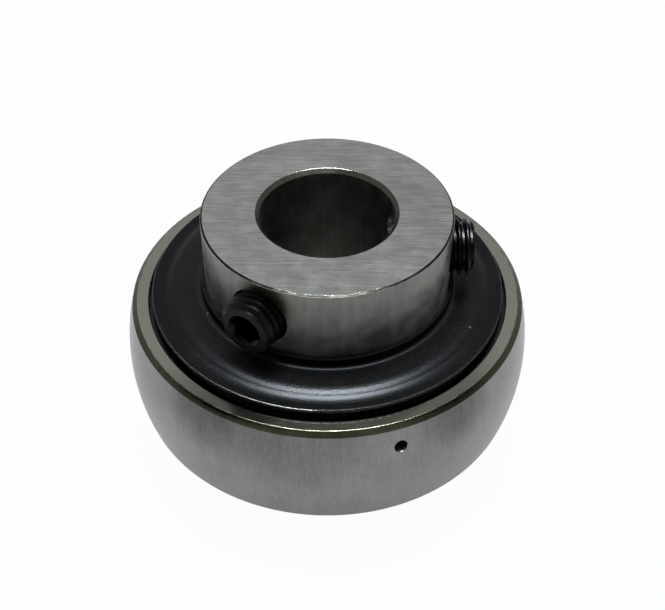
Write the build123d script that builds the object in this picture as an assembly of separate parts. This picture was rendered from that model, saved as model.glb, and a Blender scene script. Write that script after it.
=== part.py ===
from build123d import *
import math
import os

# Insert bearing with a spherical outer ring and a long inner ring held to its shaft by two set screws.
# The origin is the centre of the spherical surface, on the shaft axis.
# +Z runs along the shaft toward the long end of the inner ring, and the first set screw points along +X.
# Lengths are millimetres and angles are degrees, counted from +X toward +Y.

# Outer ring
sphere_diameter = 47.0
outer_wall_thickness = 2.761
edge_chamfer_width = 0.54
edge_chamfer_height = 0.525
seal_seat_step = 1.25
seal_seat_depth = 1.9
face_edge_break = 0.1

# Lubrication hole through the outer ring
lubrication_hole_diameter = 1.5
lubrication_hole_height = 4.3
lubrication_hole_angle = -69.0

# Inner ring
bore_diameter = 15.0
bore_chamfer = 0.45
short_end_height = 12.7
land_step = 0.1
land_beyond_flinger = 0.95
end_chamfer = 0.2

# Balls and raceways
ball_count = 8
ball_gap = 4.882
race_depth = 1.339
race_clearance = 0.02
race_conformity = 0.52

# Riveted ribbon cage
cage_thickness = 0.6
cage_width = 2.7
pocket_clearance = 0.08
rivet_diameter = 1.2
rivet_head_diameter = 1.9
rivet_head_height = 0.45
rivet_head_round = 0.3

# Seals: a steel insert in the outer ring with a rubber lip that wipes the inner ring
seal_cage_gap = 0.271
insert_thickness = 0.4
insert_land_gap = 1.5
insert_wall_height = 1.1
insert_bend_radius = 0.3
lip_cover = 0.18
lip_grip = 0.7
lip_root_gap = 1.1
lip_tip_clearance = 0.02
lip_tip_width = 0.25
lip_tip_rise = 0.85

# Flingers: dished steel discs, each pressed on the inner ring by its upturned collar
flinger_thickness = 0.35
flinger_rim_rise = 1.0
flinger_rim_gap = 0.45
flinger_rim_width = 1.45
flinger_rim_round = 0.15
flinger_step_width = 1.1
flinger_step_rise = 0.5
flinger_step_bend = 2.2
flinger_collar_bend = 0.45
flinger_collar_rise = 1.15

# Set screws, with the thread drawn at its outer diameter
screw_spacing_angle = -120.0
screw_flinger_gap = 1.925
screw_distance_from_end = 4.7
screw_diameter = 6.35
screw_length = 6.35
first_screw_stands_proud = 2.3
second_screw_stands_proud = 2.5
screw_end_chamfer = 0.42
screw_point_diameter = 3.4
screw_cup_depth = 0.8
screw_hole_clearance = 0.03
screw_hole_edge_break = 0.2
socket_across_flats = 3.175
socket_turn = -15.0
socket_depth = 3.0
socket_mouth_diameter = 3.9

# Radii and heights of the balls, raceways and cage
# The balls are as large as the outer raceway allows with the gap between them.
sphere_radius = sphere_diameter / 2
outer_race_bottom = sphere_radius - outer_wall_thickness
half_spacing = math.sin(math.pi / ball_count)
ball_radius = ((outer_race_bottom - race_clearance) * half_spacing - ball_gap / 2) / (half_spacing + 1)
pitch_radius = outer_race_bottom - race_clearance - ball_radius
inner_race_bottom = pitch_radius - ball_radius - race_clearance
race_radius = 2 * ball_radius * race_conformity
race_half_width = math.sqrt(race_radius**2 - (race_radius - race_depth) ** 2)
pocket_radius = ball_radius + pocket_clearance
cage_half_height = pocket_radius + cage_thickness
cage_inner_radius = pitch_radius - cage_width / 2
cage_outer_radius = pitch_radius + cage_width / 2

# Radii and heights of the rings
outer_shoulder_radius = outer_race_bottom - race_depth
seal_seat_radius = outer_shoulder_radius + seal_seat_step
seal_seat_height = cage_half_height + seal_cage_gap + lip_cover
outer_half_width = seal_seat_height + seal_seat_depth
bore_radius = bore_diameter / 2
land_radius = inner_race_bottom + race_depth
extension_radius = land_radius - land_step

# Radii and heights of the seals, flingers and screws
insert_inner_radius = land_radius + insert_land_gap
insert_top_height = seal_seat_height + insert_wall_height
flinger_rim_radius = seal_seat_radius - flinger_rim_gap
flinger_rim_height = outer_half_width + flinger_rim_rise
flinger_top_height = flinger_rim_height + flinger_step_rise
land_half_width = flinger_top_height + land_beyond_flinger
screw_radius = screw_diameter / 2
screw_height = flinger_top_height + screw_flinger_gap + screw_radius
screw_outer_ends = [extension_radius + first_screw_stands_proud, extension_radius + second_screw_stands_proud]
long_end_height = screw_height + screw_distance_from_end

ON_PLANE = (Align.CENTER, Align.CENTER, Align.MIN)


def mirrored(points):
    """The same outline points on the other side of the ball plane, in reverse order."""
    return [(radius, -height) for radius, height in reversed(points)]


def turned(outline):
    """A solid turned about the shaft axis from a closed outline of radius and height."""
    return revolve(make_face(Plane.XZ * outline), Axis.Z, 360)


def radial_plane(angle, height, distance):
    """A plane that faces straight out from the shaft axis."""
    outward = Vector(math.cos(math.radians(angle)), math.sin(math.radians(angle)), 0)
    return Plane(origin=distance * outward + Vector(0, 0, height), x_dir=(0, 0, 1), z_dir=outward)


def radial_hole(angle, height, diameter, start, end):
    """The cylinder that a drill removes between two distances from the shaft axis."""
    return extrude(radial_plane(angle, height, start) * Circle(diameter / 2), end - start)


def polar(radius, angle):
    """A location on the ball plane, at a radius and an angle about the shaft axis."""
    return Pos(radius * math.cos(math.radians(angle)), radius * math.sin(math.radians(angle)), 0)


def one_side(piece, side):
    """The piece as drawn on the long side, or its mirror image on the short side."""
    return piece if side > 0 else piece.mirror(Plane.XY)


def outer_ring():
    """Outer ring: sphere outside, deep-groove raceway and two seal seats inside."""
    chamfer_height = outer_half_width - edge_chamfer_height
    chamfer_radius = math.sqrt(sphere_radius**2 - chamfer_height**2)
    long_side = [
        (chamfer_radius, chamfer_height),
        (chamfer_radius - edge_chamfer_width, outer_half_width),
        (seal_seat_radius + face_edge_break, outer_half_width),
        (seal_seat_radius, outer_half_width - face_edge_break),
        (seal_seat_radius, seal_seat_height),
        (outer_shoulder_radius, seal_seat_height),
        (outer_shoulder_radius, race_half_width),
    ]
    short_side = mirrored(long_side)
    race = ThreePointArc(long_side[-1], (outer_race_bottom, 0), short_side[0])
    sphere = ThreePointArc(short_side[-1], (sphere_radius, 0), long_side[0])
    ring = turned(Polyline(*long_side) + race + Polyline(*short_side) + sphere)
    drilled_to = outer_shoulder_radius - lubrication_hole_diameter
    return ring - radial_hole(
        lubrication_hole_angle, lubrication_hole_height, lubrication_hole_diameter, drilled_to, sphere_radius
    )


def inner_ring():
    """Inner ring: bore, raceway, ground land and the long end with its screw holes."""
    outline = [
        (land_radius, race_half_width),
        (land_radius, land_half_width),
        (extension_radius, land_half_width + land_step),
        (extension_radius, long_end_height - end_chamfer),
        (extension_radius - end_chamfer, long_end_height),
        (bore_radius + bore_chamfer, long_end_height),
        (bore_radius, long_end_height - bore_chamfer),
        (bore_radius, bore_chamfer - short_end_height),
        (bore_radius + bore_chamfer, -short_end_height),
        (extension_radius - end_chamfer, -short_end_height),
        (extension_radius, end_chamfer - short_end_height),
        (extension_radius, -land_half_width - land_step),
        (land_radius, -land_half_width),
        (land_radius, -race_half_width),
    ]
    race = ThreePointArc(outline[-1], (inner_race_bottom, 0), outline[0])
    ring = turned(Polyline(*outline) + race)
    hole_diameter = screw_diameter + 2 * screw_hole_clearance
    for number, outer_end in enumerate(screw_outer_ends):
        angle = number * screw_spacing_angle
        ring -= radial_hole(angle, screw_height, hole_diameter, bore_radius / 2, outer_end)
    wall_middle = (bore_radius + extension_radius) / 2
    rims = ring.edges().filter_by(GeomType.BSPLINE)
    mouths = [rim for rim in rims if math.hypot(rim.center().X, rim.center().Y) > wall_middle]
    return chamfer(mouths, screw_hole_edge_break)


def ball_angle(number):
    """The angle of a ball about the shaft axis, with a cage web over +X."""
    return (number + 0.5) * 360 / ball_count


def ball(number):
    """One ball, touching neither raceway by the race clearance."""
    return polar(pitch_radius, ball_angle(number)) * Sphere(ball_radius)


def web_angle(number):
    """The angle of a cage web, halfway between two balls."""
    return ball_angle(number) - 180 / ball_count


def cage_half(side):
    """Half of the ribbon cage: flat webs joined by rounded pockets, on one side of the ball plane."""
    band = Cylinder(cage_outer_radius, cage_half_height, align=ON_PLANE)
    band -= Cylinder(cage_inner_radius, cage_half_height, align=ON_PLANE)
    half = Cylinder(cage_outer_radius, cage_thickness, align=ON_PLANE) & band
    rivet_hole = Cylinder(rivet_diameter / 2, 4 * cage_thickness)
    for number in range(ball_count):
        half += (polar(pitch_radius, ball_angle(number)) * Sphere(cage_half_height)) & band
    for number in range(ball_count):
        half -= polar(pitch_radius, ball_angle(number)) * Sphere(pocket_radius)
        half -= polar(pitch_radius, web_angle(number)) * rivet_hole
    return one_side(half, side)


def rivet():
    """A rivet with a rounded head on each side of the two cage halves."""
    head = Pos(0, 0, cage_thickness) * Cylinder(rivet_head_diameter / 2, rivet_head_height, align=ON_PLANE)
    pin = Cylinder(rivet_diameter / 2, 2 * cage_thickness) + head + head.mirror(Plane.XY)
    crown_height = cage_thickness + rivet_head_height / 2
    crowns = [edge for edge in pin.edges().filter_by(GeomType.CIRCLE) if abs(edge.center().Z) > crown_height]
    return fillet(crowns, rivet_head_round)


def cage_rivets():
    """The rivets as separate solids, one through each web."""
    webs = [polar(pitch_radius, web_angle(number)) for number in range(ball_count)]
    return Compound(children=[web * rivet() for web in webs])


def seal_insert(side):
    """Steel seal insert: a flat ring with a turned-up wall pressed into the outer ring."""
    skin = FilletPolyline(
        (insert_inner_radius, seal_seat_height),
        (seal_seat_radius, seal_seat_height),
        (seal_seat_radius, insert_top_height),
        radius=insert_bend_radius + insert_thickness,
    )
    return one_side(turned(skin.offset_2d(insert_thickness, side=Side.LEFT)), side)


def seal_lip(side):
    """Rubber seal: moulded round the insert's inner edge, with a lip that leans out to the inner ring."""
    bottom = seal_seat_height - lip_cover
    top = seal_seat_height + insert_thickness + lip_cover
    tip_radius = land_radius + lip_tip_clearance
    root_radius = land_radius + lip_root_gap
    grip_radius = insert_inner_radius + lip_grip
    outline = Polyline(
        (grip_radius, bottom),
        (grip_radius, seal_seat_height),
        (insert_inner_radius, seal_seat_height),
        (insert_inner_radius, seal_seat_height + insert_thickness),
        (grip_radius, seal_seat_height + insert_thickness),
        (grip_radius, top),
        (root_radius, top),
        (tip_radius + lip_tip_width, top + lip_tip_rise),
        (tip_radius, top + lip_tip_rise),
        (tip_radius, top + lip_tip_rise - lip_tip_width),
        (root_radius - lip_tip_width, bottom),
        close=True,
    )
    return one_side(turned(outline), side)


def flinger(side):
    """Dished steel flinger: an upturned collar on the inner ring, a stepped disc and a rounded rim."""
    collar_radius = land_radius + flinger_thickness
    step_outer_radius = flinger_rim_radius - flinger_rim_width
    skin = FilletPolyline(
        (collar_radius, flinger_top_height + flinger_collar_rise),
        (collar_radius, flinger_top_height),
        (step_outer_radius - flinger_step_width, flinger_top_height),
        (step_outer_radius, flinger_rim_height),
        (flinger_rim_radius, flinger_rim_height),
        radius=[flinger_collar_bend, flinger_step_bend, flinger_step_bend],
    )
    disc = turned(skin.offset_2d(flinger_thickness, side=Side.RIGHT))
    rims = disc.edges().filter_by(GeomType.CIRCLE).group_by(SortBy.RADIUS)[-1]
    return one_side(fillet(rims.sort_by(Axis.Z)[-1], flinger_rim_round), side)


def set_screw(number):
    """Set screw with a hexagon socket in its outer end and a cup point at the shaft."""
    point_radius = screw_point_diameter / 2
    point_height = screw_radius - point_radius
    outline = Polyline(
        (0, 0),
        (screw_radius - screw_end_chamfer, 0),
        (screw_radius, -screw_end_chamfer),
        (screw_radius, point_height - screw_length),
        (point_radius, -screw_length),
        (0, screw_cup_depth - screw_length),
        close=True,
    )
    screw = turned(outline)
    socket = RegularPolygon(socket_across_flats / 2, 6, major_radius=False, rotation=socket_turn)
    screw -= extrude(socket, -socket_depth)
    mouth_height = (socket_mouth_diameter - socket_across_flats) / 2
    mouth = Cone(socket_across_flats / 2, socket_mouth_diameter / 2, mouth_height, align=ON_PLANE)
    screw -= Pos(0, 0, -mouth_height) * mouth
    return radial_plane(number * screw_spacing_angle, screw_height, screw_outer_ends[number]) * screw


pieces = {
    "outer_ring": outer_ring(),
    "inner_ring": inner_ring(),
    "cage_upper": cage_half(1),
    "cage_lower": cage_half(-1),
    "cage_rivets": cage_rivets(),
}
for name, side in (("upper", 1), ("lower", -1)):
    pieces[f"seal_insert_{name}"] = seal_insert(side)
    pieces[f"seal_lip_{name}"] = seal_lip(side)
    pieces[f"flinger_{name}"] = flinger(side)
for number in range(ball_count):
    pieces[f"ball_{number + 1}"] = ball(number)
for number in range(len(screw_outer_ends)):
    pieces[f"set_screw_{number + 1}"] = set_screw(number)

os.makedirs("parts", exist_ok=True)
for name, piece in pieces.items():
    export_step(piece, f"parts/{name}.step")
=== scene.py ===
import math

import bmesh
import bpy
from mathutils import Matrix, Vector


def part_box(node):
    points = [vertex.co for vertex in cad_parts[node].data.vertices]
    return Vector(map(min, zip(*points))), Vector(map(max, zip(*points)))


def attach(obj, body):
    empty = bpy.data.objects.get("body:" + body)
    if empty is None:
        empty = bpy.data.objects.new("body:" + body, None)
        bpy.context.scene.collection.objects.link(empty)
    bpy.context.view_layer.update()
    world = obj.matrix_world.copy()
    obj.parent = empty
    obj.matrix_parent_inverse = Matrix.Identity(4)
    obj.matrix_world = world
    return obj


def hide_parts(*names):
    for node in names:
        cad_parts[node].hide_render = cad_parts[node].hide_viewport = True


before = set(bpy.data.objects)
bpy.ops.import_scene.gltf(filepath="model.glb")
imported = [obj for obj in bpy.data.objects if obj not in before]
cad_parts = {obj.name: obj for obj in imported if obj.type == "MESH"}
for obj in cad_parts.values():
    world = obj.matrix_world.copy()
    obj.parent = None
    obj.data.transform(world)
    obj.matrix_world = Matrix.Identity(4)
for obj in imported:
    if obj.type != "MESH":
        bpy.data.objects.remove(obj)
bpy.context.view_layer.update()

# Insert bearing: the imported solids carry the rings, flingers, seals, balls and cage with detailed finishes.
# The set screws are drawn here with their thread. Lengths are metres, and MM turns millimetres into them.
MM = 0.001

# Camera: the place, lens and framing that fit the photograph's ellipses
image_width_pixels = 665
sensor_width = 36.0
focal_length_pixels = 1164.5
camera_distance = 137.57 * MM
camera_elevation = math.radians(42.96)
camera_azimuth = math.radians(-88.5)
aim_height = 4.18 * MM
aim_offset_pixels = 5.27
nearest_view = 10.0 * MM

# Set screws: their direction, their outer end's distance from the shaft axis and where their thread starts
screws = {
    "set_screw_1": {"direction": 0.0, "outer_end": 16.3 * MM, "thread_start": 0.13},
    "set_screw_2": {"direction": math.radians(-120), "outer_end": 16.5 * MM, "thread_start": 0.9},
}
screw_height = 13.6 * MM
screw_length = 6.35 * MM
screw_radius = 3.175 * MM
thread_pitch = 25.4 / 28 * MM
thread_depth = 0.5413 * thread_pitch
crest_share = 1 / 8
root_share = 1 / 4
screw_end_chamfer = 0.42 * MM
point_radius = 1.7 * MM
cup_depth = 0.8 * MM
socket_across_flats = 3.175 * MM
socket_depth = 3.0 * MM
socket_drill_depth = 0.5 * MM
socket_mouth_radius = 1.95 * MM
socket_turn = math.radians(-15)
steps_round_screw = 96
samples_per_pitch = 16
weld_distance = 0.002 * MM
sharp_angle = math.radians(28)

# Places in millimetres where finishes meet, with radii from the shaft axis, and how softly they meet
long_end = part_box("inner_ring")[1].z / MM
short_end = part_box("inner_ring")[0].z / MM
bore_radius = 7.5
bore_chamfer = 0.45
extension_radius = 14.0
end_chamfer = 0.2
collar_top = 9.65
face_outer_radius = 22.02
chamfer_bottom = 6.475
chamfer_top = 7.0
seal_seat_radius = 20.65
seal_seat_bottom = 5.2
edge_wear_full = 20.75
edge_wear_end = 21.25
rim_radius = 20.2
rubbed_width = 0.15
rim_shade_start = 18.45
rim_shade_full = 18.85
collar_radius = 14.45
foot_shade_full = 14.75
foot_shade_end = 15.35
# The cage and seal inserts are painted near black beyond these radii, as shade deep in the bearing
cage_shade_radius = 20.65
seal_shade_radius = 19.2
# The screws' reflections are painted weaker inside this radius, as painted shade near the ring
screw_shade_end_radius = 15.6
soft = 0.04

# Fine edges: each part's rounding in millimetres, and how much the inner ring's end edge leans up
outer_edge_round = 0.1
inner_edge_round = 0.12
coat_edge_round = 0.09
end_edge_lean = 0.7
edge_samples = 6

# Noise: the band of its values that spreads from the lowest to the highest shade
noise_low = 0.3
noise_high = 0.7

# Floor: its size, its gap under the part, and how much it glows for each kind of ray that sees it
floor_radius = 3.0
floor_corners = 96
floor_gap = 0.02 * MM
floor_tone = 0.8
white = (1.0, 1.0, 1.0)
floor_glow_shares = {"Is Camera Ray": 0.965, "Is Glossy Ray": 0.5, "Is Transmission Ray": 0.5}

# Room: its strength round the part and in the dark patch behind the camera, and where that patch fades in
room_tint = (0.93, 0.95, 1.0)
room_strength = 0.75
dark_strength = 0.05
dark_azimuth = math.radians(-93)
dark_elevation = math.radians(50)
dark_fade_start = 0.45
dark_fade_end = 0.95

# Lamps: the overhead one shows in gloss alone, and the fill lights matt surfaces alone
lamp_tint = (0.93, 0.98, 1.0)
lamp_distance = 0.6
lamps = {
    "overhead": {
        "direction": (0.0, 0.065, 1.0), "width": 0.31, "depth": 0.222, "power": 23.5, "in_gloss": True,
    },
    "fill": {
        "direction": (0.0, 0.14, 1.0), "width": 0.34, "depth": 0.13, "power": 2.0, "in_gloss": False,
    },
}


class Shader:
    """A material's nodes, with one short call for each kind of node that the finishes use."""

    def __init__(self, name):
        self.material = bpy.data.materials.new(name)
        self.material.use_nodes = True
        self.tree = self.material.node_tree
        self.surface = self.tree.nodes["Principled BSDF"]
        place = self.tree.nodes.new("ShaderNodeTexCoord").outputs["Object"]
        self.point = self.vector_math("SCALE", place, 1 / MM)
        parts = self.tree.nodes.new("ShaderNodeSeparateXYZ")
        self.put(parts.inputs[0], self.point)
        self.x, self.y, self.z = parts.outputs
        self.height = self.math("ABSOLUTE", self.z)
        squares = self.math("ADD", self.math("POWER", self.x, 2.0), self.math("POWER", self.y, 2.0))
        self.radius = self.math("SQRT", squares)

    def put(self, socket, value):
        """A socket takes the value itself, or a link from the output that carries it."""
        if isinstance(value, bpy.types.NodeSocket):
            self.tree.links.new(value, socket)
        else:
            socket.default_value = value

    def math(self, operation, first, second=0.0):
        """One arithmetic step."""
        node = self.tree.nodes.new("ShaderNodeMath")
        node.operation = operation
        self.put(node.inputs[0], first)
        self.put(node.inputs[1], second)
        return node.outputs[0]

    def sum(self, *values):
        """Several values added up."""
        total = values[0]
        for value in values[1:]:
            total = self.math("ADD", total, value)
        return total

    def both(self, first, second):
        """The part that two masks share."""
        return self.math("MULTIPLY", first, second)

    def vector_math(self, operation, vector, other=None):
        """One step with a vector: a factor for SCALE, or else a second vector if the step takes one."""
        node = self.tree.nodes.new("ShaderNodeVectorMath")
        node.operation = operation
        self.put(node.inputs[0], vector)
        if other is not None:
            self.put(node.inputs["Scale"] if operation == "SCALE" else node.inputs[1], other)
        return node.outputs["Value" if operation == "DISTANCE" else "Vector"]

    def stretched(self, x, y, z):
        """The place in millimetres, with a factor for each direction."""
        return self.vector_math("MULTIPLY", self.point, (x, y, z))

    def turned(self, around, along):
        """The place for marks about the shaft axis, with a factor for round it and one for along it."""
        node = self.tree.nodes.new("ShaderNodeCombineXYZ")
        for socket, part in zip(node.inputs, (self.x, self.y)):
            self.put(socket, self.math("MULTIPLY", self.math("DIVIDE", part, self.radius), around))
        self.put(node.inputs[2], self.math("MULTIPLY", self.z, along))
        return node.outputs[0]

    def noise(self, vector, scale, detail=2.0, roughness=0.5):
        """Smooth noise from 0 to 1."""
        node = self.tree.nodes.new("ShaderNodeTexNoise")
        self.put(node.inputs["Vector"], vector)
        node.inputs["Scale"].default_value = scale
        node.inputs["Detail"].default_value = detail
        node.inputs["Roughness"].default_value = roughness
        return node.outputs["Fac"]

    def specks(self, spacing, size, share):
        """Small round marks of a size in millimetres, in a share of the cells of an even random pattern."""
        node = self.tree.nodes.new("ShaderNodeTexVoronoi")
        node.voronoi_dimensions = "2D"
        self.put(node.inputs["Vector"], self.point)
        node.inputs["Scale"].default_value = 1 / spacing
        draw = self.tree.nodes.new("ShaderNodeSeparateXYZ")
        self.put(draw.inputs[0], node.outputs["Color"])
        chosen = self.math("GREATER_THAN", draw.outputs[0], 1.0 - share)
        return self.both(chosen, self.ramp(node.outputs["Distance"], size / spacing, 0.0))

    def mark(self, radius, degrees, height, reach, core, strength=1.0):
        """A soft round mark about a place on the surface: full within the core, gone beyond the reach."""
        turn = math.radians(degrees)
        centre = (radius * math.cos(turn), radius * math.sin(turn), height)
        return self.ramp(self.vector_math("DISTANCE", self.point, centre), reach, core, 0.0, strength)

    def ramp(self, value, start, end, low=0.0, high=1.0):
        """A smooth step from low to high as the value goes from start to end."""
        node = self.tree.nodes.new("ShaderNodeMapRange")
        node.interpolation_type = "SMOOTHSTEP"
        for name, number in (("From Min", start), ("From Max", end), ("To Min", low), ("To Max", high)):
            node.inputs[name].default_value = number
        self.put(node.inputs["Value"], value)
        return node.outputs["Result"]

    def vary(self, noise, low=0.0, high=1.0):
        """A noise spread between two values."""
        return self.ramp(noise, noise_low, noise_high, low, high)

    def within(self, mask, outside, inside):
        """One value outside a mask and another inside it."""
        return self.ramp(mask, 0.0, 1.0, outside, inside)

    def above(self, value, limit):
        """A mask of where a value is above a limit, with a soft edge."""
        return self.ramp(value, limit - soft / 2, limit + soft / 2)

    def below(self, value, limit):
        """A mask of where a value is below a limit, with a soft edge."""
        return self.ramp(value, limit - soft / 2, limit + soft / 2, 1.0, 0.0)

    def mix(self, factor, first, second):
        """One colour turning into another."""
        node = self.tree.nodes.new("ShaderNodeMix")
        node.data_type = "RGBA"
        start, end = [socket for socket in node.inputs if socket.type == "RGBA"]
        self.put(node.inputs["Factor"], factor)
        self.put(start, first)
        self.put(end, second)
        return next(socket for socket in node.outputs if socket.type == "RGBA")

    def shade(self, tint, factor):
        """A colour made darker or lighter by a factor."""
        vector = tint if isinstance(tint, bpy.types.NodeSocket) else tint[:3]
        return self.vector_math("SCALE", vector, factor)

    def rounded(self, edge_radius):
        """The surface's direction, with its edges rounded by a small radius."""
        node = self.tree.nodes.new("ShaderNodeBevel")
        node.samples = edge_samples
        node.inputs["Radius"].default_value = edge_radius * MM
        return node.outputs[0]

    def lean(self, direction, amount):
        """A direction turned toward the nearer end of the part by an amount."""
        node = self.tree.nodes.new("ShaderNodeCombineXYZ")
        self.put(node.inputs[2], self.both(self.math("SIGN", self.z), amount))
        return self.vector_math("NORMALIZE", self.vector_math("ADD", direction, node.outputs[0]))

    def bump(self, height, depth, direction=None):
        """Fine relief of a depth in millimetres, over the surface's own direction or the one given."""
        node = self.tree.nodes.new("ShaderNodeBump")
        node.inputs["Distance"].default_value = depth * MM
        self.put(node.inputs["Height"], height)
        if direction:
            self.put(node.inputs["Normal"], direction)
        self.put(self.surface.inputs["Normal"], node.outputs[0])

    def finish(self, **values):
        """Sets the surface's own sockets by name, with _ for a space."""
        for name, value in values.items():
            self.put(self.surface.inputs[name.replace("_", " ")], value)
        return self.material


def colour(red, green, blue):
    """An opaque colour in linear light."""
    return (red, green, blue, 1.0)


def ground_outer_steel():
    """The outer ring: ground sphere, lapped faces, dark oxide on the chamfers, and painted shade in the seal
    seats, on the faces' front and on the sphere.
    """
    steel = Shader("ground_steel_outer")
    patches = steel.noise(steel.point, scale=0.16, detail=3.0)
    streaks = steel.noise(steel.turned(21.0, 0.06), scale=0.9, detail=4.0)
    fine_streaks = steel.noise(steel.turned(70.0, 0.7), scale=1.0, detail=3.0, roughness=0.6)
    turning = steel.noise(steel.turned(1.5, 9.0), scale=1.6, detail=3.0)
    grain = steel.noise(steel.point, scale=7.0, detail=3.0, roughness=0.6)
    glints = steel.noise(steel.turned(22.0, 0.0), scale=0.8, detail=4.0)
    face = steel.above(steel.height, chamfer_top - soft / 2)
    face_edge = steel.both(face, steel.above(steel.radius, face_outer_radius - 3 * soft))
    on_sphere = steel.math("SUBTRACT", 1.0, face)
    oxide = steel.both(
        steel.above(steel.height, chamfer_bottom),
        steel.above(steel.radius, face_outer_radius),
    )
    seat = steel.both(
        steel.above(steel.height, seal_seat_bottom),
        steel.below(steel.radius, seal_seat_radius + soft),
    )
    sphere_tone = steel.sum(
        steel.vary(patches, -0.06, 0.06),
        steel.vary(streaks, -0.035, 0.035),
        steel.vary(fine_streaks, -0.06, 0.06),
        steel.ramp(turning, 0.2, 0.8, -0.05, 0.05),
    )
    # Painted shade on the face: darker by its inner edge at the front, and in patches at the front left and
    # front right, where the face lies in shade and reflects the dark inner ring
    front_inner_edge_shade = steel.both(
        steel.ramp(steel.radius, edge_wear_end, edge_wear_full),
        steel.mark(radius=20.9, degrees=-92, height=chamfer_top, reach=14.0, core=6.0, strength=-0.35),
    )
    face_painted_shade = steel.sum(
        front_inner_edge_shade,
        steel.mark(radius=21.3, degrees=-118, height=chamfer_top, reach=12.0, core=1.0, strength=-0.6),
        steel.mark(radius=21.3, degrees=-52, height=chamfer_top, reach=11.0, core=1.0, strength=-0.47),
    )
    # Painted shade: darker patches on the sphere at the front left, front right and front, standing in for
    # the shaded floor it reflects there
    sphere_painted_shade = steel.sum(
        steel.mark(radius=22.8, degrees=-125, height=5.7, reach=6.5, core=1.0, strength=-0.48),
        steel.mark(radius=22.8, degrees=-97, height=9.0, reach=12.0, core=5.0, strength=-0.28),
        steel.mark(radius=22.8, degrees=-51, height=5.7, reach=6.0, core=1.0, strength=-0.46),
    )
    tone = steel.sum(
        1.0,
        steel.vary(grain, -0.08, 0.08),
        steel.both(on_sphere, sphere_tone),
        steel.both(on_sphere, sphere_painted_shade),
        steel.both(steel.ramp(steel.height, chamfer_bottom, chamfer_top), face_painted_shade),
        steel.both(face_edge, steel.ramp(glints, 0.38, 0.62, -0.25, 0.1)),
    )
    oxide_tone = steel.sum(
        1.0,
        steel.mark(radius=22.3, degrees=-114, height=6.7, reach=10.0, core=3.0, strength=0.6),
        steel.mark(radius=22.3, degrees=-50, height=6.7, reach=8.0, core=2.0, strength=-0.15),
    )
    ground = colour(0.234, 0.235, 0.231)
    lapped = colour(0.224, 0.227, 0.187)
    chamfer_oxide = steel.shade(colour(0.037, 0.035, 0.0225), oxide_tone)
    # Painted shade: the seal seats are drawn near black, as the shade deep in the gap
    seat_painted_shade = colour(0.006, 0.006, 0.006)
    base = steel.mix(face, ground, lapped)
    base = steel.mix(oxide, base, chamfer_oxide)
    base = steel.mix(seat, base, seat_painted_shade)
    steel.bump(steel.sum(turning, grain), 0.004, steel.rounded(outer_edge_round))
    return steel.finish(
        Base_Color=steel.shade(base, tone),
        Metallic=1.0,
        Roughness=steel.sum(
            0.16,
            steel.both(on_sphere, steel.vary(streaks, 0.11, 0.15)),
            steel.within(steel.math("MAXIMUM", oxide, seat), 0.0, 0.14),
        ),
    )


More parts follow.
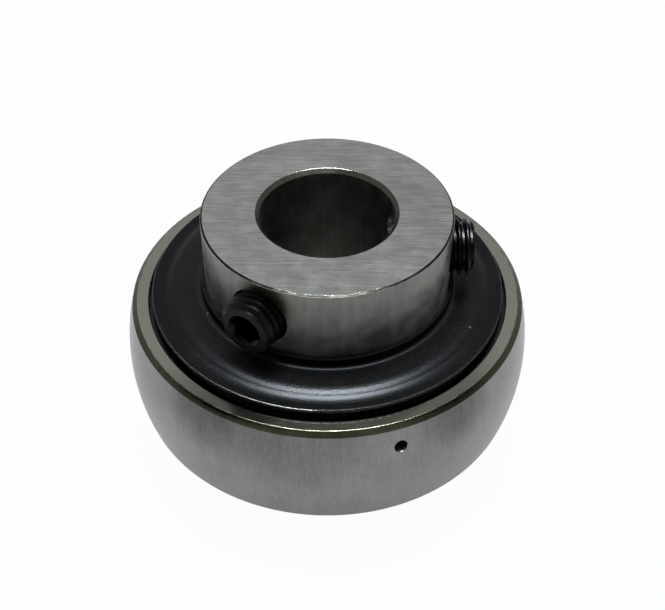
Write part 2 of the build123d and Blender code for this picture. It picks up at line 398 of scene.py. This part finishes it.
def ground_inner_steel():
    """The inner ring: straight grinding lines on the end faces, a mottled side, oxide on the bore chamfers,
    and painted shade in the bore and on the end edges.
    """
    steel = Shader("ground_steel_inner")
    lines = steel.noise(steel.stretched(0.18, 3.2, 0.0), scale=1.0, detail=4.0, roughness=0.65)
    fine_lines = steel.noise(steel.stretched(0.6, 9.0, 0.0), scale=1.0, detail=2.0)
    patches = steel.noise(steel.point, scale=0.13, detail=2.0)
    mottle = steel.noise(steel.point, scale=0.45, detail=5.0, roughness=0.6)
    streaks = steel.noise(steel.turned(14.0, 0.08), scale=1.6, detail=3.0)
    grain = steel.noise(steel.point, scale=6.0, detail=3.0)
    glints = steel.noise(steel.turned(14.0, 0.0), scale=0.9, detail=4.0)
    below_top = steel.math("SUBTRACT", long_end, steel.z)
    above_bottom = steel.math("SUBTRACT", steel.z, short_end)
    from_end = steel.math("MINIMUM", below_top, above_bottom)
    face = steel.below(from_end, soft)
    bore = steel.below(steel.radius, bore_radius + 2 * soft)
    oxide = steel.both(
        steel.below(steel.radius, bore_radius + bore_chamfer),
        steel.below(from_end, bore_chamfer),
    )
    edge = steel.both(
        steel.above(steel.radius, extension_radius - end_chamfer - soft),
        steel.below(from_end, end_chamfer - soft),
    )
    # Partly a real brown stain beside the second set screw, partly painted shade of that screw on the ring's
    # side
    stain_and_screw_shade = steel.both(
        steel.above(steel.radius, extension_radius - soft),
        steel.mark(radius=extension_radius, degrees=-116.5, height=15.8, reach=3.95, core=2.3),
    )
    face_tone = steel.sum(
        steel.ramp(lines, 0.25, 0.75, 0.8, 1.2),
        steel.vary(fine_lines, -0.08, 0.08),
        steel.vary(patches, -0.04, 0.04),
        steel.mark(radius=11.0, degrees=0, height=long_end, reach=9.0, core=2.0, strength=-0.09),
    )
    side_mottle_and_painted_light = steel.sum(
        steel.vary(mottle, 0.86, 1.12),
        steel.vary(streaks, -0.08, 0.08),
        steel.ramp(grain, 0.2, 0.8, -0.1, 0.1),
        # Painted light and shade: the side is lighter at the front right and front left, and darker at the
        # left and the front, standing in for what it reflects
        steel.mark(radius=extension_radius, degrees=-36, height=11.5, reach=8.5, core=3.0, strength=0.6),
        steel.mark(radius=extension_radius, degrees=-145, height=16.0, reach=4.0, core=1.0, strength=0.3),
        steel.mark(radius=extension_radius, degrees=-165, height=16.0, reach=4.5, core=1.0, strength=-0.25),
        steel.mark(radius=extension_radius, degrees=-93, height=15.5, reach=4.5, core=1.0, strength=-0.12),
    )
    glint_tone = steel.ramp(glints, 0.4, 0.6, 0.6, 1.6)
    ground_side = steel.shade(colour(0.205, 0.205, 0.191), side_mottle_and_painted_light)
    ground_face = steel.shade(colour(0.291, 0.294, 0.271), face_tone)
    # Partly the bore's own ground finish, partly painted shade: a darker copy of the side's steel inside the
    # bore
    bore_ground_and_shaded = steel.shade(colour(0.148, 0.148, 0.135), side_mottle_and_painted_light)
    chamfer_oxide = colour(0.05, 0.048, 0.04)
    # Painted shade: the end edge is the same steel as the side, drawn near black so that it shows dark in its
    # reflections and bright only under the overhead lamp
    edge_painted_shade = steel.shade(colour(0.0085, 0.0085, 0.0075), glint_tone)
    brown = colour(0.078, 0.07, 0.054)
    base = steel.mix(face, ground_side, ground_face)
    base = steel.mix(bore, base, bore_ground_and_shaded)
    base = steel.mix(oxide, base, chamfer_oxide)
    base = steel.mix(edge, base, edge_painted_shade)
    base = steel.mix(stain_and_screw_shade, base, brown)
    relief = steel.sum(steel.both(lines, face), steel.math("MULTIPLY", grain, 0.3))
    direction = steel.lean(steel.rounded(inner_edge_round), steel.both(edge, end_edge_lean))
    steel.bump(relief, 0.003, direction)
    return steel.finish(
        Base_Color=base,
        Metallic=1.0,
        Roughness=steel.sum(steel.vary(mottle, 0.28, 0.38), steel.within(face, 0.0, -0.16)),
    )


def flinger_black():
    """The flingers: a smooth black coat with a fine orange-peel grain, a rubbed rim, specks of dust, and
    painted shade by the collar and rim.
    """
    coat = Shader("flinger_black_steel")
    peel = coat.noise(coat.point, scale=5.0, detail=3.0)
    cloud = coat.noise(coat.point, scale=0.35, detail=2.0)
    speck = coat.mark(radius=17.76, degrees=-25.8, height=8.4, reach=0.2, core=0.02)
    dust = coat.math("MAXIMUM", coat.specks(spacing=2.2, size=0.16, share=0.03), speck)
    rubbed = coat.both(coat.above(coat.radius, rim_radius - rubbed_width), coat.ramp(peel, 0.3, 0.6))
    # Painted shade: the collar's wall is near black with weak reflections, as the shade in the crevice by the
    # inner ring
    wall = coat.below(coat.radius, collar_radius + 2 * soft)
    cut_edge = coat.above(coat.height, collar_top - soft)
    deep_black = colour(0.0058, 0.0059, 0.006)
    soft_black = colour(0.0078, 0.0079, 0.008)
    wall_painted_shade = colour(0.0025, 0.0025, 0.0025)
    sheared_steel = colour(0.016, 0.016, 0.016)
    bare_steel = colour(0.05, 0.05, 0.05)
    dust_grey = colour(0.3, 0.28, 0.24)
    base = coat.mix(coat.vary(cloud), deep_black, soft_black)
    base = coat.mix(wall, base, wall_painted_shade)
    base = coat.mix(cut_edge, base, sheared_steel)
    base = coat.mix(rubbed, base, bare_steel)
    base = coat.mix(dust, base, dust_grey)
    dull_foot = coat.ramp(coat.radius, foot_shade_full, foot_shade_end, 0.14, 0.0)
    # Painted shade: weaker reflections on the flat by the rim
    rim_reflection_shade = coat.ramp(coat.radius, rim_shade_start, rim_shade_full, 0.0, -0.03)
    coat.bump(peel, 0.02, coat.rounded(coat_edge_round))
    return coat.finish(
        Base_Color=base,
        Metallic=rubbed,
        Roughness=coat.sum(dull_foot, coat.vary(peel, 0.24, 0.32)),
        Specular_IOR_Level=coat.sum(coat.within(wall, 0.076, 0.02), rim_reflection_shade),
        Specular_Tint=colour(0.88, 0.92, 1.0),
    )


def screw_black():
    """The set screws: black oxide, with their reflections painted weaker near the ring as painted shade."""
    oxide = Shader("screw_black_oxide")
    grain = oxide.noise(oxide.point, scale=4.0, detail=4.0, roughness=0.6)
    worn = oxide.ramp(grain, 0.35, 0.7)
    oxide.bump(grain, 0.02)
    return oxide.finish(
        Base_Color=oxide.mix(worn, colour(0.001, 0.001, 0.0012), colour(0.0032, 0.0032, 0.0036)),
        Roughness=oxide.vary(grain, 0.22, 0.38),
        # Painted shade: weaker reflections near the ring, full beyond the last radius
        Specular_IOR_Level=oxide.ramp(oxide.radius, extension_radius, screw_shade_end_radius, 0.05, 0.115),
    )


def polished_ball_steel():
    """The balls: lapped steel under a thin film of grease."""
    steel = Shader("ball_steel")
    film = steel.noise(steel.point, scale=0.8, detail=3.0)
    base = steel.mix(steel.vary(film), colour(0.5, 0.5, 0.5), colour(0.56, 0.56, 0.55))
    return steel.finish(Base_Color=base, Metallic=1.0, Roughness=steel.vary(film, 0.06, 0.14))


def pressed_steel(name, tint, shaded_beyond):
    """Cage and seal inserts: pressed sheet with a soft mill grain, painted near black beyond a radius as
    shade deep in the bearing.
    """
    steel = Shader(name)
    grain = steel.noise(steel.point, scale=3.0, detail=4.0, roughness=0.6)
    steel.bump(grain, 0.008)
    base = steel.shade(tint, steel.vary(grain, 0.85, 1.1))
    # Painted shade: near black beyond the radius, deep in the bearing
    base = steel.mix(steel.above(steel.radius, shaded_beyond), base, colour(0.01, 0.01, 0.009))
    return steel.finish(Base_Color=base, Metallic=1.0, Roughness=steel.vary(grain, 0.28, 0.42))


def seal_rubber():
    """The seal lips: matt black rubber with a fine moulded grain."""
    rubber = Shader("seal_rubber")
    grain = rubber.noise(rubber.point, scale=9.0, detail=2.0)
    rubber.bump(grain, 0.01)
    base = rubber.mix(rubber.vary(grain), colour(0.012, 0.012, 0.012), colour(0.022, 0.022, 0.021))
    return rubber.finish(Base_Color=base, Roughness=rubber.vary(grain, 0.55, 0.7))


def thread_radius(turns_along, depth):
    """The screw's radius at a share of the thread's pitch and a depth below the outer end."""
    share = turns_along % 1.0
    flank_share = (1.0 - crest_share - root_share) / 2
    past_crest = max(share - crest_share, 0.0)
    before_crest = 1.0 - share
    down_flank = min(past_crest, before_crest, flank_share) / flank_share
    outer_cone = screw_radius - screw_end_chamfer + depth
    inner_cone = point_radius + screw_length - depth
    return min(screw_radius - thread_depth * down_flank, outer_cone, inner_cone)


def socket_radius(angle):
    """The distance from the screw's axis to the hexagon socket's wall."""
    from_flat = (angle - socket_turn + math.pi / 6) % (math.pi / 3) - math.pi / 6
    return socket_across_flats / 2 / math.cos(from_flat)


def screw_mesh(name, outer_end, start):
    """A set screw along +X as one closed mesh: right-hand thread, chamfered ends, socket and cup point.

    Turns go clockwise as seen from outside, so the thread goes deeper with the turn.
    """
    form = bmesh.new()
    turns = [step / steps_round_screw for step in range(steps_round_screw + 1)]

    def row(place):
        """A line of points once round the screw, each given by the depth and radius at its turn."""
        points = []
        for turn in turns:
            depth, radius = place(turn)
            angle = math.tau * turn
            points.append((outer_end - depth, radius * math.cos(angle), -radius * math.sin(angle)))
        return [form.verts.new(point) for point in points]

    def join(rows):
        """Faces between each row and the next."""
        for upper, lower in zip(rows, rows[1:]):
            for step in range(steps_round_screw):
                form.faces.new((upper[step], upper[step + 1], lower[step + 1], lower[step]))

    def surface(depth, turn):
        """The thread's radius at a depth and a turn round the screw."""
        return thread_radius(depth / thread_pitch - turn - start, depth)

    def helix(share):
        """A line of the thread that starts this many pitches below the outer end."""
        def place(turn):
            depth = min(max((share + turn) * thread_pitch, 0.0), screw_length)
            return depth, surface(depth, turn)
        return row(place)

    def mouth(turn):
        """The cone at the socket's mouth meets the hexagon's walls."""
        wall = socket_radius(math.tau * turn)
        return socket_mouth_radius - wall, wall

    last = math.ceil(screw_length / thread_pitch * samples_per_pitch)
    join([helix(index / samples_per_pitch) for index in range(-samples_per_pitch, last + 1)])
    join([
        row(lambda turn: (socket_depth + socket_drill_depth, 0.0)),
        row(lambda turn: (socket_depth, socket_radius(math.tau * turn))),
        row(mouth),
        row(lambda turn: (0.0, socket_mouth_radius)),
        row(lambda turn: (0.0, surface(0.0, turn))),
    ])
    join([
        row(lambda turn: (screw_length, surface(screw_length, turn))),
        row(lambda turn: (screw_length - cup_depth, 0.0)),
    ])
    bmesh.ops.remove_doubles(form, verts=form.verts, dist=weld_distance)
    bmesh.ops.dissolve_degenerate(form, edges=form.edges, dist=weld_distance)
    bmesh.ops.recalc_face_normals(form, faces=form.faces)
    mesh = bpy.data.meshes.new(name)
    form.to_mesh(mesh)
    form.free()
    mesh.shade_smooth()
    mesh.set_sharp_from_angle(angle=sharp_angle)
    return mesh


def add_set_screws(material):
    """Threaded set screws in place of the plain ones, each on its own body."""
    for node, place in screws.items():
        mesh = screw_mesh(f"{node}_threaded", place["outer_end"], place["thread_start"])
        turn = Matrix.Rotation(place["direction"], 4, "Z")
        mesh.transform(turn @ Matrix.Translation((0, 0, screw_height)))
        mesh.materials.append(material)
        screw = bpy.data.objects.new(mesh.name, mesh)
        bpy.context.scene.collection.objects.link(screw)
        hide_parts(node)
        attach(screw, f"{node}_body")


def finish_nodes():
    """Each solid gets its own finish, by the first words of its name."""
    finishes = {
        "outer_ring": ground_outer_steel(),
        "inner_ring": ground_inner_steel(),
        "flinger": flinger_black(),
        "set_screw": screw_black(),
        "ball": polished_ball_steel(),
        "cage": pressed_steel("cage_steel", colour(0.45, 0.44, 0.42), cage_shade_radius),
        "seal_insert": pressed_steel("seal_steel", colour(0.4, 0.4, 0.4), seal_shade_radius),
        "seal_lip": seal_rubber(),
    }
    for name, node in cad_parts.items():
        kind = next(kind for kind in finishes if name.startswith(kind))
        node.data.materials.clear()
        node.data.materials.append(finishes[kind])
    add_set_screws(finishes["set_screw"])


def white_stage():
    """A pale floor that shows white in view and in reflections, and keeps the soft shadow of the part."""
    floor_mesh = bpy.data.meshes.new("floor")
    form = bmesh.new()
    bmesh.ops.create_circle(form, cap_ends=True, segments=floor_corners, radius=floor_radius)
    form.to_mesh(floor_mesh)
    form.free()
    floor = bpy.data.objects.new("floor", floor_mesh)
    floor.location.z = short_end * MM - floor_gap
    bpy.context.scene.collection.objects.link(floor)
    material = bpy.data.materials.new("floor_white")
    material.use_nodes = True
    tree = material.node_tree
    tree.nodes.clear()
    output = tree.nodes.new("ShaderNodeOutputMaterial")
    matt = tree.nodes.new("ShaderNodeBsdfDiffuse")
    matt.inputs["Color"].default_value = colour(floor_tone, floor_tone, floor_tone)
    glow = tree.nodes.new("ShaderNodeEmission")
    glow.inputs["Color"].default_value = colour(*white)
    path = tree.nodes.new("ShaderNodeLightPath")
    glow_share = None
    for kind, amount in floor_glow_shares.items():
        share = tree.nodes.new("ShaderNodeMath")
        share.operation = "MULTIPLY_ADD"
        share.inputs[1].default_value = amount
        share.inputs[2].default_value = 0.0
        tree.links.new(path.outputs[kind], share.inputs[0])
        if glow_share:
            tree.links.new(glow_share, share.inputs[2])
        glow_share = share.outputs[0]
    mix = tree.nodes.new("ShaderNodeMixShader")
    tree.links.new(glow_share, mix.inputs[0])
    tree.links.new(matt.outputs[0], mix.inputs[1])
    tree.links.new(glow.outputs[0], mix.inputs[2])
    tree.links.new(mix.outputs[0], output.inputs[0])
    floor_mesh.materials.append(material)


def studio_world():
    """A white room that turns darker high up behind the camera, and shows plain white in view."""
    world = bpy.data.worlds.new("studio")
    bpy.context.scene.world = world
    world.use_nodes = True
    tree = world.node_tree
    background = tree.nodes["Background"]
    place = tree.nodes.new("ShaderNodeTexCoord")
    aim = tree.nodes.new("ShaderNodeVectorMath")
    aim.operation = "DOT_PRODUCT"
    aim.inputs[1].default_value = (
        math.cos(dark_elevation) * math.cos(dark_azimuth),
        math.cos(dark_elevation) * math.sin(dark_azimuth),
        math.sin(dark_elevation),
    )
    tree.links.new(place.outputs["Generated"], aim.inputs[0])
    fade = tree.nodes.new("ShaderNodeMapRange")
    fade.interpolation_type = "SMOOTHSTEP"
    fade.inputs["From Min"].default_value = dark_fade_start
    fade.inputs["From Max"].default_value = dark_fade_end
    fade.inputs["To Min"].default_value = room_strength
    fade.inputs["To Max"].default_value = dark_strength
    tree.links.new(aim.outputs["Value"], fade.inputs["Value"])
    tree.links.new(fade.outputs["Result"], background.inputs["Strength"])
    background.inputs["Color"].default_value = colour(*room_tint)
    view = tree.nodes.new("ShaderNodeBackground")
    view.inputs["Color"].default_value = colour(*white)
    path = tree.nodes.new("ShaderNodeLightPath")
    mix = tree.nodes.new("ShaderNodeMixShader")
    tree.links.new(path.outputs["Is Camera Ray"], mix.inputs[0])
    tree.links.new(background.outputs[0], mix.inputs[1])
    tree.links.new(view.outputs[0], mix.inputs[2])
    tree.links.new(mix.outputs[0], tree.nodes["World Output"].inputs["Surface"])


def add_lamp(name, direction, width, depth, power, in_gloss):
    """A rectangular lamp that faces the part. One that shows in its gloss doesn't light its matt colour."""
    lamp = bpy.data.lights.new(name, "AREA")
    lamp.shape = "RECTANGLE"
    lamp.size = width
    lamp.size_y = depth
    lamp.energy = power
    lamp.color = lamp_tint
    box = bpy.data.objects.new(name, lamp)
    box.location = Vector(direction).normalized() * lamp_distance
    box.rotation_euler = box.location.to_track_quat("Z", "Y").to_euler()
    box.visible_glossy = in_gloss
    box.visible_diffuse = not in_gloss
    bpy.context.scene.collection.objects.link(box)


def add_camera():
    """The camera at the photograph's viewing angle."""
    camera = bpy.data.cameras.new("camera")
    camera.sensor_width = sensor_width
    camera.lens = focal_length_pixels * sensor_width / image_width_pixels
    camera.shift_x = aim_offset_pixels / image_width_pixels
    camera.clip_start = nearest_view
    holder = bpy.data.objects.new("camera", camera)
    reach = camera_distance * math.cos(camera_elevation)
    holder.location = (
        reach * math.cos(camera_azimuth),
        reach * math.sin(camera_azimuth),
        aim_height + camera_distance * math.sin(camera_elevation),
    )
    toward = Vector((0, 0, aim_height)) - holder.location
    holder.rotation_euler = toward.to_track_quat("-Z", "Y").to_euler()
    bpy.context.scene.collection.objects.link(holder)
    bpy.context.scene.camera = holder


finish_nodes()
white_stage()
studio_world()
for lamp_name, values in lamps.items():
    add_lamp(lamp_name, **values)
add_camera()
bpy.context.scene.view_settings.view_transform = "Standard"
